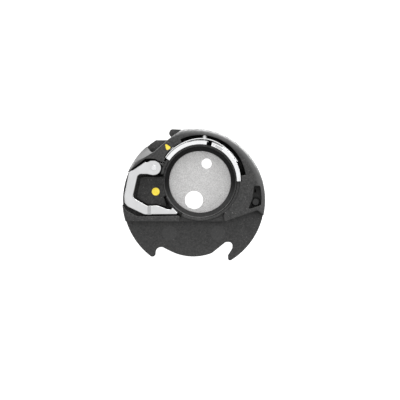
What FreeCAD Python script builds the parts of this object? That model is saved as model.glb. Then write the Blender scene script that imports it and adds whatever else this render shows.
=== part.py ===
"""Bobbin case of a drop-in rotary hook, as a parametric FreeCAD document.

The case is a low drum.  Its head (flange and deck) is turned about the hook axis, and its cup
is turned about the bobbin axis, which is offset.  The origin is on the hook axis, inside the
floor plate's larger hole, +Z points up out of the bobbin well, and all lengths are in
millimetres.
"""

import FreeCAD, Part
import math
import os
import re
import Sketcher
from FreeCAD import Placement, Rotation, Vector

# name, value, what it is
DIMENSIONS = [
    ("past", 0.1, "how far a cut runs past the face it opens"),
    ("rim_radius", 21.7, "outside of the flange and deck, about the hook axis"),
    ("deck_top", 12.8, "top face of the deck"),
    ("rim_band", 1.9, "width of the slightly sloped band along the deck's edge"),
    ("rim_drop", 0.35, "how far that band falls"),
    ("deck_round", 0.7, "broken outer edge of that band"),
    ("flange_top", 8.8, "top face of the running flange"),
    ("flange_under", 7.2, "underside of the running flange, which rests in the hook race"),
    ("flange_break", 0.3, "broken lower corner of the flange"),
    ("left_prong_round", 0.95, "rounding of the left prong's tip"),
    ("right_prong_round", 0.6, "rounding of the right prong's tip"),
    ("facet_slope", 34.0, "slope of the facet behind the lever, degrees"),
    ("facet_long", 12.0, "length of the facet's cut"),
    ("facet_lead", 5.0, "how far that cut starts before the facet's line"),
    ("eject_radius", 2.3, "two faint round mould marks on the flange"),
    ("eject_x", 7.45, "mould marks, left and right of the middle"),
    ("eject_y", -10.15, "mould marks"),
    ("eject_deep", 0.04, "mould marks"),
    ("ring_top", 12.3, "top of the cup wall"),
    ("thread_lip_deep", 0.9, "step in the cup wall under the thread slot"),
    ("middle_top", 11.9, "low part of the deck in front of the cup"),
    ("low_ring_start", 172.5, "cup wall that is level with the panel, degrees about the bobbin axis"),
    ("low_ring_sweep", 33.0, "that stretch, degrees"),
    ("panel_top", 10.2, "fixed panel inside the brake lever"),
    ("gap_floor", 9.4, "floor of the narrow gap beside that stretch"),
    ("gap_sweep", 2.7, "that gap, degrees"),
    ("well_x", 1.9, "bobbin axis"),
    ("well_y", 5.72, "bobbin axis"),
    ("well_radius", 11.0, "inside of the cup"),
    ("cup_radius", 12.05, "outside of the cup"),
    ("cup_bottom", -1.2, "underside of the cup"),
    ("cup_round", 0.8, "rounding of the cup's lower edge"),
    ("well_mouth", 0.45, "slanted lead-in at the top of the cup wall"),
    ("well_floor", 0.4, "inside floor of the cup"),
    ("plate_seat", -0.3, "ledge that carries the floor plate"),
    ("plate_seat_radius", 9.88, "recess for the floor plate"),
    ("floor_opening", 8.85, "opening under the floor plate"),
    ("plate_radius", 9.85, "floor plate"),
    ("plate_thick", 0.7, "floor plate"),
    ("plate_bevel", 0.14, "floor plate's broken edges"),
    ("spindle_hole", 2.88, "hole on the hook axis"),
    ("drive_hole", 1.59, "second hole, on the line through both axes"),
    ("drive_hole_x", 3.99, "second hole"),
    ("drive_hole_y", 11.51, "second hole"),
    ("groove_outer", 12.55, "outer wall of the groove that holds the guard plates"),
    ("groove_floor", 8.4, "floor of that groove"),
    ("slot_inner", 12.5, "crescent slot"),
    ("slot_outer", 13.95, "crescent slot"),
    ("slot_floor", 8.2, "floor of the crescent slot"),
    ("slot_start", 7.5, "crescent slot's first end, degrees about the bobbin axis"),
    ("slot_sweep", 108.0, "crescent slot's length in degrees"),
    ("root_groove_outer", 13.08, "clearance for the root of the tension leaf"),
    ("root_groove_lap", 1.25, "how far that groove runs past the leaf's root, degrees"),
    ("guard_inner", 11.15, "inner edge of the guard plates"),
    ("guard_skirt_inner", 12.1, "inside of their skirts"),
    ("guard_outer", 12.5, "outside of their skirts"),
    ("guard_top", 12.7, "top face of the guard plates"),
    ("guard_bend", 0.3, "outside of the bend between their flange and skirt"),
    ("guard_low", 8.6, "lower edge of their skirts"),
    ("right_plate_start", -0.3, "guard plate, degrees about the bobbin axis"),
    ("right_plate_sweep", 72.8, "guard plate"),
    ("left_plate_start", 80.0, "screw plate"),
    ("left_plate_sweep", 66.0, "screw plate"),
    ("right_end_gap", 0.9, "room in the groove past the guard plate's end, degrees"),
    ("left_end_gap", 5.0, "room in the groove past the screw plate's end, degrees"),
    ("skirt_lap", 2.0, "how far the screw plate's skirt runs on under the thread slot"),
    ("crease_radius", 11.92, "fine crease along the guard plate"),
    ("crease_width", 0.14, "that crease"),
    ("crease_deep", 0.1, "that crease"),
    ("crease_sweep", 31.5, "its length in degrees, from the plate's lower end"),
    ("score_width", 0.7, "fine line across the plate where the crease ends, degrees"),
    ("guide_slot_deep", 0.3, "thread guide slot, which is a blind recess"),
    ("guide_slot_radius", 11.6, "thread guide slot in the guard plate"),
    ("guide_slot_width", 0.65, "thread guide slot"),
    ("guide_slot_start", 54.2, "thread guide slot, degrees"),
    ("guide_slot_sweep", 12.0, "thread guide slot, degrees"),
    ("guard_pin_radius", 0.22, "locating pin of the guard plate"),
    ("guard_pin_circle", 11.7, "its distance from the bobbin axis"),
    ("guard_pin_angle", 69.2, "its angle about the bobbin axis"),
    ("guard_pin_long", 2.4, "its length"),
    ("leaf_low", 9.1, "lower edge of the tension leaf"),
    ("leaf_high", 12.1, "upper edge of the tension leaf"),
    ("leaf_thick", 0.3, "tension leaf"),
    ("leaf_inner", 12.53, "inner face of the leaf where it lies on the plates"),
    ("leaf_start", 27.5, "free end of the leaf, degrees about the bobbin axis"),
    ("leaf_end", 145.5, "fixed end of the leaf, degrees"),
    ("leaf_toe", 0.12, "how far the free end turns out"),
    ("leaf_bulge", 0.25, "how far the leaf bows out between its ends"),
    ("bulge_start", 45.0, "where that bow starts, degrees"),
    ("bulge_end", 118.0, "where that bow ends, degrees"),
    ("leaf_hole", 0.72, "holes in the leaf for its two screws"),
    ("screw_level", 10.6, "height of both screws' axes"),
    ("screw_shank", 0.5, "both screws"),
    ("screw_hole", 0.54, "clearance hole for their shanks"),
    ("screw_head", 0.95, "both screw heads"),
    ("screw_head_tall", 0.7, "both screw heads"),
    ("screw_slot", 0.3, "driver slot: width"),
    ("screw_slot_deep", 0.28, "driver slot: depth"),
    ("screw_angle", 84.0, "tension screw, degrees about the bobbin axis"),
    ("screw_seat", 13.17, "underside of the tension screw's head"),
    ("fixing_angle", 131.0, "fixing screw, degrees about the bobbin axis"),
    ("fixing_seat", 12.96, "underside of the fixing screw's head"),
    ("screw_end", 11.5, "inner end of both screws"),
    ("access_radius", 1.15, "driver access bore in front of each screw"),
    ("access_end", 24.0, "outer end of those bores, about the bobbin axis"),
    ("pivot_x", -12.1, "brake lever's pivot"),
    ("pivot_y", 9.75, "brake lever's pivot"),
    ("pivot_shank", 0.7, "pivot pin"),
    ("pivot_hole", 0.74, "lever's pivot hole"),
    ("pivot_head", 0.9, "pivot pin's head"),
    ("pivot_head_tall", 0.2, "pivot pin's low domed head"),
    ("pivot_tail", 1.1, "riveted end of the pin, in a counterbore under the flange"),
    ("pivot_tail_deep", 0.4, "that counterbore"),
    ("tail_gap", 0.05, "room round the riveted end and under it"),
    ("boss_radius", 1.45, "boss under the lever's eye"),
    ("boss_top", 10.75, "boss under the lever's eye"),
    ("washer_radius", 1.75, "washer under the lever's eye"),
    ("lever_under", 11.1, "underside of the lever's eye"),
    ("lever_top", 12.35, "top of the lever's eye"),
    ("joggle", 0.6, "how far the brake arm steps down"),
    ("joggle_x", -14.0, "where the lever's upper face starts to step down"),
    ("joggle_run", 1.0, "length of that slope"),
    ("joggle_shift", 0.4, "how much further left the lower face steps"),
    ("lever_reach", 15.0, "depth of the cuts that shape the lever from the side"),
    ("lever_gap", 0.03, "running gap over and under the lever's eye"),
    ("lip_low", 9.3, "lower edge of the brake lip"),
    ("lip_inner", 11.65, "brake face, about the bobbin axis"),
    ("lip_outer", 12.15, "back of the brake lip"),
    ("lip_start", 225.0, "brake lip, degrees about the bobbin axis"),
    ("lip_sweep", 9.0, "brake lip, degrees"),
    ("window_start", 219.0, "window in the cup wall for the brake lip, degrees"),
    ("window_sweep", 22.5, "that window, degrees"),
    ("relief_start", 203.0, "thinned cup wall beside that window, degrees"),
    ("relief_sweep", 16.5, "that stretch, degrees"),
    ("relief_wall", 0.35, "thickness left there"),
    ("window_floor", 9.0, "lower edge of that window"),
    ("spring_wire", 0.15, "radius of the lever spring's wire"),
    ("spring_coil", 2.1, "mean radius of the spring's coil"),
    ("spring_low", 9.15, "height of the wire's lowest coil"),
    ("spring_pitch", 0.4, "rise per turn"),
    ("spring_turns", 2.0, "full turns"),
    ("fixed_leg_angle", 75.0, "where the spring's fixed leg leaves the coil, degrees"),
    ("fixed_leg", 2.6, "length of that leg"),
    ("slit_half", 0.28, "half the width of the slit that holds it"),
    ("slit_lead", 0.6, "how far from the coil that slit starts"),
    ("slit_floor", 9.65, "floor of that slit"),
    ("hook_angle", 120.0, "where the spring's moving leg leaves the coil, degrees"),
    ("hook_leg", 2.2, "length of that leg"),
    ("hook_bend", 0.4, "inside bend where it turns up"),
    ("hook_depth", 0.6, "blind hole in the lever for its end"),
    ("hook_hole", 0.25, "radius of that hole"),
    ("pocket_floor", 10.0, "pocket on the right of the deck"),
    ("pocket_slit_deep", 0.8, "narrow slit in that pocket's floor"),
    ("plug_radius", 1.25, "round plug in that pocket"),
    ("plug_x", 18.85, "plug"),
    ("plug_y", -0.6, "plug"),
    ("plug_top", 10.9, "plug"),
    ("plug_bottom", 9.0, "plug"),
    ("dot_radius", 1.2, "round painted mark"),
    ("dot_x", -11.6, "round painted mark"),
    ("dot_y", 2.57, "round painted mark"),
    ("mark_deep", 0.12, "depth of the recesses for the painted marks"),
    ("mark_proud", 0.03, "how far the paint stands out of them"),
    ("break_edge", 0.15, "small broken edges"),
    ("lever_round", 0.25, "rounding of the lever's upper edge"),
]

# Outlines in the XY plane: each corner is (x, y, corner radius).
LEVER_OUTLINE = [
    (-9.85, 7.5, 2.24), (-9.85, 12.0, 2.24), (-13.2, 12.0, 1.6), (-14.05, 11.42, 0.3),
    (-14.7, 11.62, 0.4), (-18.4, 9.1, 0.8), (-19.5, 8.75, 0.8),
    (-21.03, 1.2, 6.0), (-20.78, -1.65, 2.2), (-14.9, -4.45, 1.8), (-5.3, -4.4, 0.25),
    (-4.85, -4.0, 0.15), (-6.45, -2.3, 0.2), (-7.0, -2.85, 0.3), (-8.1, -2.75, 1.2),
    (-11.2, -1.55, 3.0), (-13.9, -1.85, 1.5), (-18.5, 0.75, 1.2), (-16.85, 7.85, 1.2),
    (-14.0, 7.8, 2.0), (-12.6, 7.5, 1.5),
]
LEVER_POCKET = [
    (-25.0, 8.5, 0), (-19.8, 8.5, 0.8), (-14.7, 12.5, 1.5), (-11.5, 12.5, 1.8), (-8.0, 8.7, 0),
    (-4.3, 0.0, 0), (-4.3, -4.75, 0.3), (-17.2, -4.95, 2.0), (-20.2, -3.2, 1.5), (-23.0, 0.3, 0),
]
PANEL_OUTLINE = [
    (-16.1, 7.15, 0.9), (-9.4, 7.15, 0.3), (-8.9, 3.0, 8.0), (-8.35, -2.2, 0.2),
    (-11.3, -1.35, 2.0), (-13.9, -1.6, 1.5), (-17.55, 0.6, 1.0),
]
FRONT_EDGE = [
    (-25.0, -6.45, 0), (9.3, -6.6, 0.4), (19.4, -3.1, 1.0), (23.0, -6.3, 0),
    (23.0, -25.0, 0), (-25.0, -25.0, 0),
]
MIDDLE_STEP = [
    (-4.3, -7.0, 0), (9.45, -7.0, 0), (9.0, -5.0, 0.3), (9.3, -3.6, 0.3), (12.0, 0.0, 0),
    (-4.3, 0.0, 0),
]
FRONT_NOTCHES = [
    (-11.73, -25.0, 0), (-11.73, -13.3, 1.74), (-1.34, -18.65, 15.6), (5.53, -16.28, 2.0),
    (9.75, -12.87, 1.2), (11.85, -12.85, 1.15), (11.85, -14.85, 0.8), (10.5, -16.95, 0.6),
    (10.48, -25.0, 0),
]
RIDGE_CUT = [
    (-16.0, 18.4, 0), (-12.6, 14.05, 0.8), (-7.8, 18.3, 5.0), (-3.0, 21.75, 0), (-3.0, 25.0, 0),
    (-16.0, 25.0, 0),
]
THREAD_NOTCH = [
    (-18.0, 18.35, 0), (-8.15, 18.35, 0.15), (-6.4, 19.7, 0), (-6.3, 25.0, 0), (-18.0, 25.0, 0),
]
FINGER = [
    (-6.55, 18.9, 0), (-7.85, 20.3, 1.1), (-7.0, 21.75, 0.95), (-3.6, 21.6, 0), (-2.5, 19.5, 0),
]
RIGHT_POCKET = [
    (18.2, 4.2, 0.35), (20.15, 4.25, 0.5), (20.5, 0.9, 2.0), (20.35, -1.55, 0.4),
    (16.35, -2.9, 0.35), (17.75, 0.2, 4.0),
]
POCKET_SLIT = [(18.55, 2.3, 0), (18.95, 2.3, 0), (18.95, 3.3, 0), (18.55, 3.3, 0)]
ARROW_MARK = [(-8.8, 17.2, 0.3), (-6.65, 15.85, 0.45), (-8.2, 14.85, 0.45)]
# The facet starts along the line between these two points of the deck.
FACET_LINE = [(-17.9, 11.05), (-12.4, 14.35)]

# Points along each face of the tension leaf, and along the spring's coil.
LEAF_STEPS = 24
COIL_STEPS = 48

# Lengths closer than this are the same.
SAME = 1e-3

# The guard pin's centre from the bobbin axis, as formulas.
GUARD_PIN_PLACE = (
    "guard_pin_circle * cos( guard_pin_angle * 1 deg )",
    "guard_pin_circle * sin( guard_pin_angle * 1 deg )",
)

doc = FreeCAD.newDocument("bobbin_case")
dims = doc.addObject("Spreadsheet::Sheet", "dims")


def fill_sheet():
    """Write every driving dimension into the sheet and name its cell."""
    for row, (name, value, note) in enumerate(DIMENSIONS, start=1):
        dims.set(f"A{row}", note)
        dims.set(f"B{row}", str(value))
        dims.setAlias(f"B{row}", name)
    doc.recompute()


def size(formula):
    """The value of a formula in the sheet's names."""
    return float(dims.evalExpression(formula))


def named(formula):
    """Put the sheet's name before each of its names, as an expression needs."""
    words = {row[0] for row in DIMENSIONS}
    return re.sub("[a-z_]+", lambda word: f"dims.{word[0]}" if word[0] in words else word[0], formula)


def new_body(label):
    """An empty body for one sub-part."""
    body = doc.addObject("PartDesign::Body", label)
    body.Label = label
    return body


def origin_plane(body, role):
    """One of the body's own origin planes."""
    return next(item for item in body.Origin.OriginFeatures if item.Role == role)


def flat_sketch(body, name, level="0", x="0", y="0"):
    """A horizontal sketch at a height, with its own origin at (x, y)."""
    sketch = body.newObject("Sketcher::SketchObject", name)
    sketch.AttachmentSupport = (origin_plane(body, "XY_Plane"), [""])
    sketch.MapMode = "FlatFace"
    sketch.setExpression(".AttachmentOffset.Base.x", named(x))
    sketch.setExpression(".AttachmentOffset.Base.y", named(y))
    sketch.setExpression(".AttachmentOffset.Base.z", named(level))
    return sketch


def upright_sketch(body, name, x="0", y="0", turn="0"):
    """A vertical sketch through (x, y): its own X points out at an angle, its own Y is up."""
    sketch = body.newObject("Sketcher::SketchObject", name)
    sketch.AttachmentSupport = (origin_plane(body, "XZ_Plane"), [""])
    sketch.MapMode = "FlatFace"
    # The axis of the turn is only kept while the turn isn't zero.
    sketch.AttachmentOffset = Placement(Vector(), Rotation(Vector(0, 1, 0), 1))
    sketch.setExpression(".AttachmentOffset.Base.x", named(x))
    sketch.setExpression(".AttachmentOffset.Base.z", f"-1 * ({named(y)})")
    sketch.setExpression(".AttachmentOffset.Rotation.Angle", named(turn))
    return sketch


def add_circle(sketch, radius, x="0", y="0"):
    """A circle whose radius and centre are bound to the sheet."""
    centre = Vector(size(x), size(y), 0)
    curve = sketch.addGeometry(Part.Circle(centre, Vector(0, 0, 1), size(radius)), False)
    limits = [
        (Sketcher.Constraint("DistanceX", -1, 1, curve, 3, centre.x), x),
        (Sketcher.Constraint("DistanceY", -1, 1, curve, 3, centre.y), y),
        (Sketcher.Constraint("Radius", curve, size(radius)), radius),
    ]
    for constraint, formula in limits:
        number = sketch.addConstraint(constraint)
        sketch.setExpression(f"Constraints[{number}]", named(formula))


def add_polygon(sketch, corners):
    """A closed polygon whose corners are pairs of formulas bound to the sheet."""
    points = [Vector(size(x), size(y), 0) for x, y in corners]
    count = len(points)
    lines = [
        sketch.addGeometry(Part.LineSegment(points[i], points[(i + 1) % count]), False)
        for i in range(count)
    ]
    for i in range(count):
        joint = Sketcher.Constraint("Coincident", lines[i], 2, lines[(i + 1) % count], 1)
        sketch.addConstraint(joint)
    for line, point, (x, y) in zip(lines, points, corners):
        number = sketch.addConstraint(Sketcher.Constraint("DistanceX", -1, 1, line, 1, point.x))
        sketch.setExpression(f"Constraints[{number}]", named(x))
        number = sketch.addConstraint(Sketcher.Constraint("DistanceY", -1, 1, line, 1, point.y))
        sketch.setExpression(f"Constraints[{number}]", named(y))


def add_outline(sketch, corners):
    """A closed outline of straight runs and rounded corners, fixed where it is drawn."""
    count = len(corners)
    ends = []
    arcs = []
    for i, (x, y, radius) in enumerate(corners):
        corner = Vector(x, y, 0)
        back = (Vector(*corners[i - 1][:2], 0) - corner).normalize()
        ahead = (Vector(*corners[(i + 1) % count][:2], 0) - corner).normalize()
        if not radius:
            ends.append((corner, corner))
            arcs.append(None)
            continue
        half = back.getAngle(ahead) / 2
        reach = radius / math.tan(half)
        middle = (back + ahead).normalize() * (radius / math.sin(half) - radius)
        first = corner + back * reach
        last = corner + ahead * reach
        ends.append((first, last))
        arcs.append(Part.Arc(first, corner + middle, last))
    for i in range(count):
        if arcs[i]:
            sketch.addGeometry(arcs[i], False)
        line = Part.LineSegment(ends[i][1], ends[(i + 1) % count][0])
        sketch.addGeometry(line, False)
    for number in range(sketch.GeometryCount):
        sketch.addConstraint(Sketcher.Constraint("Block", number))


def pad(body, name, sketch, length):
    """Add material upwards from a flat sketch."""
    feature = body.newObject("PartDesign::Pad", name)
    feature.Profile = sketch
    feature.setExpression("Length", named(length))
    doc.recompute()
    return feature


def pocket(body, name, sketch, depth, reverse=False):
    """Cut downwards from a flat sketch, and make sure that it cuts."""
    before = body.Shape.Volume
    feature = body.newObject("PartDesign::Pocket", name)
    feature.Profile = sketch
    feature.Reversed = reverse
    feature.setExpression("Length", named(depth))
    doc.recompute()
    check_cut(name, before, body)
    return feature


def check_cut(name, before, body):
    """Stop if a cut took nothing away."""
    if body.Shape.Volume > before - 1e-4:
        raise RuntimeError(f"{name} cut nothing")


def turn_about(body, kind, name, sketch, sweep="360"):
    """Revolve or groove a sketch about its own vertical axis."""
    before = body.Shape.Volume if kind == "Groove" else 0
    feature = body.newObject(f"PartDesign::{kind}", name)
    feature.Profile = sketch
    feature.ReferenceAxis = (sketch, ["V_Axis"])
    feature.setExpression("Angle", named(sweep))
    doc.recompute()
    if kind == "Groove":
        check_cut(name, before, body)
    return feature


def sector(body, kind, name, corners, start, sweep):
    """Part of a turned ring about the bobbin axis."""
    sketch = upright_sketch(body, f"{name}_profile", "well_x", "well_y", start)
    add_polygon(sketch, corners)
    return turn_about(body, kind, name, sketch, sweep)


def block(inner, outer, low, high):
    """The four corners of a rectangular ring profile."""
    return [(inner, low), (outer, low), (outer, high), (inner, high)]


def radial_place(angle, distance, level):
    """Where a part that points out from the bobbin axis stands."""
    turn = math.radians(size(angle))
    outward = Vector(math.cos(turn), math.sin(turn), 0)
    centre = Vector(size("well_x"), size("well_y"), size(level))
    return Placement(centre + outward * size(distance), Rotation(Vector(0, 0, 1), outward))


def radial_bore(body, name, angle, radius, start, end):
    """A bore that points out from the bobbin axis at the screws' height."""
    before = body.Shape.Volume
    bore = body.newObject("PartDesign::SubtractiveCylinder", name)
    bore.setExpression("Radius", named(radius))
    bore.setExpression("Height", named(f"{end} - ({start})"))
    bore.Placement = radial_place(angle, start, "screw_level")
    doc.recompute()
    check_cut(name, before, body)


def flat_edges(shape, level, curves_only=False):
    """The names of the edges that lie at one height."""
    names = []
    for number, edge in enumerate(shape.Edges, start=1):
        box = edge.BoundBox
        if abs(box.ZMin - level) > SAME or abs(box.ZMax - level) > SAME:
            continue
        if curves_only and edge.Curve.TypeId != "Part::GeomCircle":
            continue
        names.append(f"Edge{number}")
    return names


def dress(body, kind, name, base, edges, amount):
    """Fillet or chamfer chosen edges of a feature."""
    feature = body.newObject(f"PartDesign::{kind}", name)
    feature.Base = (base, edges)
    feature.setExpression("Radius" if kind == "Fillet" else "Size", named(amount))
    doc.recompute()
    return feature


def make_head(body):
    """The disc of flange and deck, with the shape of its outline cut into it."""
    profile = upright_sketch(body, "head_profile")
    edge = "deck_top - rim_drop"
    add_polygon(profile, [
        ("0", "flange_under"),
        ("rim_radius - flange_break", "flange_under"),
        ("rim_radius", "flange_under + flange_break"),
        ("rim_radius", f"{edge} - deck_round"),
        ("rim_radius - deck_round / 3", f"{edge} - deck_round / 3"),
        ("rim_radius - deck_round", edge),
        ("rim_radius - rim_band", "deck_top"),
        ("0", "deck_top"),
    ])
    turn_about(body, "Revolution", "head", profile)
    through = "deck_top - flange_under + past"
    cuts = [
        ("front_step", FRONT_EDGE, "deck_top", "deck_top - flange_top"),
        ("front_notches", FRONT_NOTCHES, "deck_top", through),
        ("ridge_step", RIDGE_CUT, "deck_top", "deck_top - flange_top"),
        ("thread_notch", THREAD_NOTCH, "deck_top", through),
        ("middle_step", MIDDLE_STEP, "deck_top", "deck_top - middle_top"),
        ("lever_pocket", LEVER_POCKET, "deck_top", "deck_top - panel_top"),
    ]
    for name, corners, level, depth in cuts:
        sketch = flat_sketch(body, f"{name}_outline", level)
        add_outline(sketch, corners)
        pocket(body, name, sketch, depth)
    trench = flat_sketch(body, "lever_trench_outline", "panel_top")
    add_outline(trench, LEVER_POCKET)
    add_outline(trench, PANEL_OUTLINE)
    pocket(body, "lever_trench", trench, "panel_top - flange_top")
    finger = flat_sketch(body, "finger_outline", "flange_under")
    add_outline(finger, FINGER)
    pad(body, "finger", finger, "flange_top - flange_under")
    for side in ("-1 *", ""):
        mark = flat_sketch(body, "eject_left" if side else "eject_right", "flange_top")
        add_circle(mark, "eject_radius", f"{side} eject_x", "eject_y")
        pocket(body, "eject_mark_left" if side else "eject_mark_right", mark, "eject_deep")
    cut_facet(body)
    round_prongs(body)


def prong_tip(shape, side):
    """The upright edge at the tip of the left (-1) or right (1) prong."""
    found = [
        f"Edge{number}" for number, edge in enumerate(shape.Edges, start=1)
        if edge.BoundBox.ZLength > size("flange_top - flange_under") / 2
        and max(edge.BoundBox.XLength, edge.BoundBox.YLength) < SAME
        and side * edge.CenterOfMass.x > 0
    ]
    return min(found, key=lambda name: shape.getElement(name).CenterOfMass.y)


def round_prongs(body):
    """Round the tips of the two front prongs."""
    for name, side in (("left_prong", -1), ("right_prong", 1)):
        tip = prong_tip(body.Shape, side)
        dress(body, "Fillet", f"{name}_tip", body.Tip, [tip], f"{name}_round")


def cut_facet(body):
    """The slanted facet from the deck's edge down to the rim, behind the lever."""
    start = Vector(*FACET_LINE[0], size("deck_top"))
    along = (Vector(*FACET_LINE[1], size("deck_top")) - start).normalize()
    outward = Vector(-along.y, along.x, 0)
    slope = math.radians(size("facet_slope"))
    down = outward * math.cos(slope) - Vector(0, 0, math.sin(slope))
    lift = along.cross(down)
    before = body.Shape.Volume
    wedge = body.newObject("PartDesign::SubtractiveBox", "facet")
    for side in ("Length", "Width", "Height"):
        wedge.setExpression(side, named("facet_long"))
    turn = FreeCAD.Matrix(
        along.x, down.x, lift.x, 0,
        along.y, down.y, lift.y, 0,
        along.z, down.z, lift.z, 0,
        0, 0, 0, 1,
    )
    place = Placement(turn)
    place.Base = start - along * size("facet_lead")
    wedge.Placement = place
    doc.recompute()
    check_cut("facet", before, body)


def make_cup(body):
    """The cup about the bobbin axis, its floor ledge and the boss under the lever."""
    level = flat_sketch(body, "ring_clearance_outline", "deck_top", "well_x", "well_y")
    add_circle(level, "cup_radius")
    pocket(body, "ring_clearance", level, "deck_top - ring_top")
    profile = upright_sketch(body, "cup_profile", "well_x", "well_y")
    add_polygon(profile, block("0", "cup_radius", "cup_bottom", "ring_top"))
    cup = turn_about(body, "Revolution", "cup", profile)
    dress(body, "Fillet", "cup_edge", cup, flat_edges(cup.Shape, size("cup_bottom")),
          "cup_round")
    rings = [
        ("well", "well_radius", "ring_top", "ring_top - well_floor"),
        ("plate_recess", "plate_seat_radius", "well_floor", "well_floor - plate_seat"),
        ("floor_hole", "floor_opening", "plate_seat", "plate_seat - cup_bottom"),
    ]
    for name, radius, top, depth in rings:
        sketch = flat_sketch(body, f"{name}_circle", top, "well_x", "well_y")
        add_circle(sketch, radius)
        pocket(body, name, sketch, depth)
    boss = flat_sketch(body, "boss_circle", "flange_top", "pivot_x", "pivot_y")
    add_circle(boss, "boss_radius")
    pad(body, "boss", boss, "boss_top - flange_top")
    hole = flat_sketch(body, "pivot_circle", "boss_top", "pivot_x", "pivot_y")
    add_circle(hole, "pivot_shank")
    pocket(body, "pivot_bore", hole, "boss_top - flange_under")
    tail = flat_sketch(body, "tail_circle", "flange_under + pivot_tail_deep", "pivot_x", "pivot_y")
    add_circle(tail, "pivot_tail + tail_gap")
    pocket(body, "tail_counterbore", tail, "pivot_tail_deep")


def cut_grooves(body):
    """The ring grooves that hold the plates and the leaf, the thread slot and the window."""
    over = "deck_top + past"
    thread_start = "right_plate_start + right_plate_sweep"
    thread_sweep = f"left_plate_start - ({thread_start})"
    plates_start = "right_plate_start - right_end_gap"
    plates_end = "left_plate_start + left_plate_sweep + left_end_gap"
    slot_end = "slot_start + slot_sweep"
    cuts = [
        ("plate_groove", "cup_radius", "groove_outer", "groove_floor",
         plates_start, f"{plates_end} - ({plates_start})"),
        ("crescent_slot", "slot_inner", "slot_outer", "slot_floor", "slot_start", "slot_sweep"),
        ("root_groove", "slot_inner", "root_groove_outer", "groove_floor",
         f"{slot_end} - root_groove_lap", f"leaf_end - ({slot_end}) + 2 * root_groove_lap"),
        ("thread_slot", "well_radius + 3 * past", "slot_inner", "groove_floor",
         thread_start, thread_sweep),
        ("thread_lip", "well_radius - past", "well_radius + 4 * past", "ring_top - thread_lip_deep",
         thread_start, thread_sweep),
        ("low_ring", "well_radius - past", "cup_radius + past", "panel_top",
         "low_ring_start", "low_ring_sweep"),
        ("low_ring_gap", "well_radius + 2 * past", "cup_radius + past", "gap_floor",
         "low_ring_start - gap_sweep", "gap_sweep + past"),
        ("window_relief", "well_radius + relief_wall", "cup_radius + past", "window_floor",
         "relief_start", "relief_sweep"),
        ("brake_window", "well_radius - past", "cup_radius + 4 * past", "window_floor",
         "window_start", "window_sweep"),
    ]
    for name, inner, outer, low, start, sweep in cuts:
        sector(body, "Groove", name, block(inner, outer, low, over), start, sweep)
    mouth = [
        ("well_radius - past", "ring_top - well_mouth - past"),
        ("well_radius + well_mouth + past", "ring_top + past"),
        ("well_radius - past", "ring_top + past"),
    ]
    sector(body, "Groove", "well_mouth_cut", mouth, "0", "360")


def cut_bores(body):
    """The screws' bores and the driver access in front of them."""
    for name, angle, seat in (("tension", "screw_angle", "screw_seat"),
                              ("fixing", "fixing_angle", "fixing_seat")):
        radial_bore(body, f"{name}_bore", angle, "screw_hole", "screw_end - past", seat)
        radial_bore(body, f"{name}_access", angle, "access_radius", f"{seat} - past", "access_end")
    pin = flat_sketch(body, "guard_pin_circle", "ring_top", "well_x", "well_y")
    add_circle(pin, "guard_pin_radius", *GUARD_PIN_PLACE)
    pocket(body, "guard_pin_bore", pin, "guard_pin_long - guard_top + ring_top + past")


def cut_details(body):
    """The right pocket with its plug, the recesses for the marks and the spring's slit."""
    pockets = [
        ("right_pocket", RIGHT_POCKET, "deck_top", "deck_top - pocket_floor"),
        ("pocket_slit", POCKET_SLIT, "pocket_floor", "pocket_slit_deep"),
        ("arrow_recess", ARROW_MARK, "deck_top", "mark_deep"),
        ("spring_slit", slit_outline(), "deck_top", "deck_top - slit_floor"),
    ]
    for name, corners, top, depth in pockets:
        sketch = flat_sketch(body, f"{name}_outline", top)
        add_outline(sketch, corners)
        pocket(body, name, sketch, depth)
    bore = flat_sketch(body, "plug_circle", "pocket_floor", "plug_x", "plug_y")
    add_circle(bore, "plug_radius")
    pocket(body, "plug_bore", bore, "pocket_floor - plug_bottom")
    dot = flat_sketch(body, "dot_circle", "panel_top", "dot_x", "dot_y")
    add_circle(dot, "dot_radius")
    pocket(body, "dot_recess", dot, "mark_deep")


def spring_leg():
    """The lever spring's fixed leg, which leaves the coil as a tangent."""
    pivot = Vector(size("pivot_x"), size("pivot_y"), 0)
    turn = math.radians(size("fixed_leg_angle"))
    outward = Vector(math.cos(turn), math.sin(turn), 0)
    along = Vector(outward.y, -outward.x, 0)
    start = pivot + outward * size("spring_coil")
    return {"angle": turn, "along": along, "start": start, "end": start + along * size("fixed_leg")}


def slit_outline():
    """The corners of the slit that holds the spring's fixed leg."""
    leg = spring_leg()
    along = leg["along"]
    side = Vector(-along.y, along.x, 0) * size("slit_half")
    first = leg["start"] + along * size("slit_lead")
    last = leg["end"] + along * size("past")
    corners = [first + side, last + side, last - side, first - side]
    return [(corner.x, corner.y, 0) for corner in corners]


def make_case_body():
    """The moulded body: head, cup, grooves, bores and details."""
    body = new_body("case_body")
    make_head(body)
    make_cup(body)
    cut_grooves(body)
    cut_bores(body)
    cut_details(body)
    return body


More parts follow.
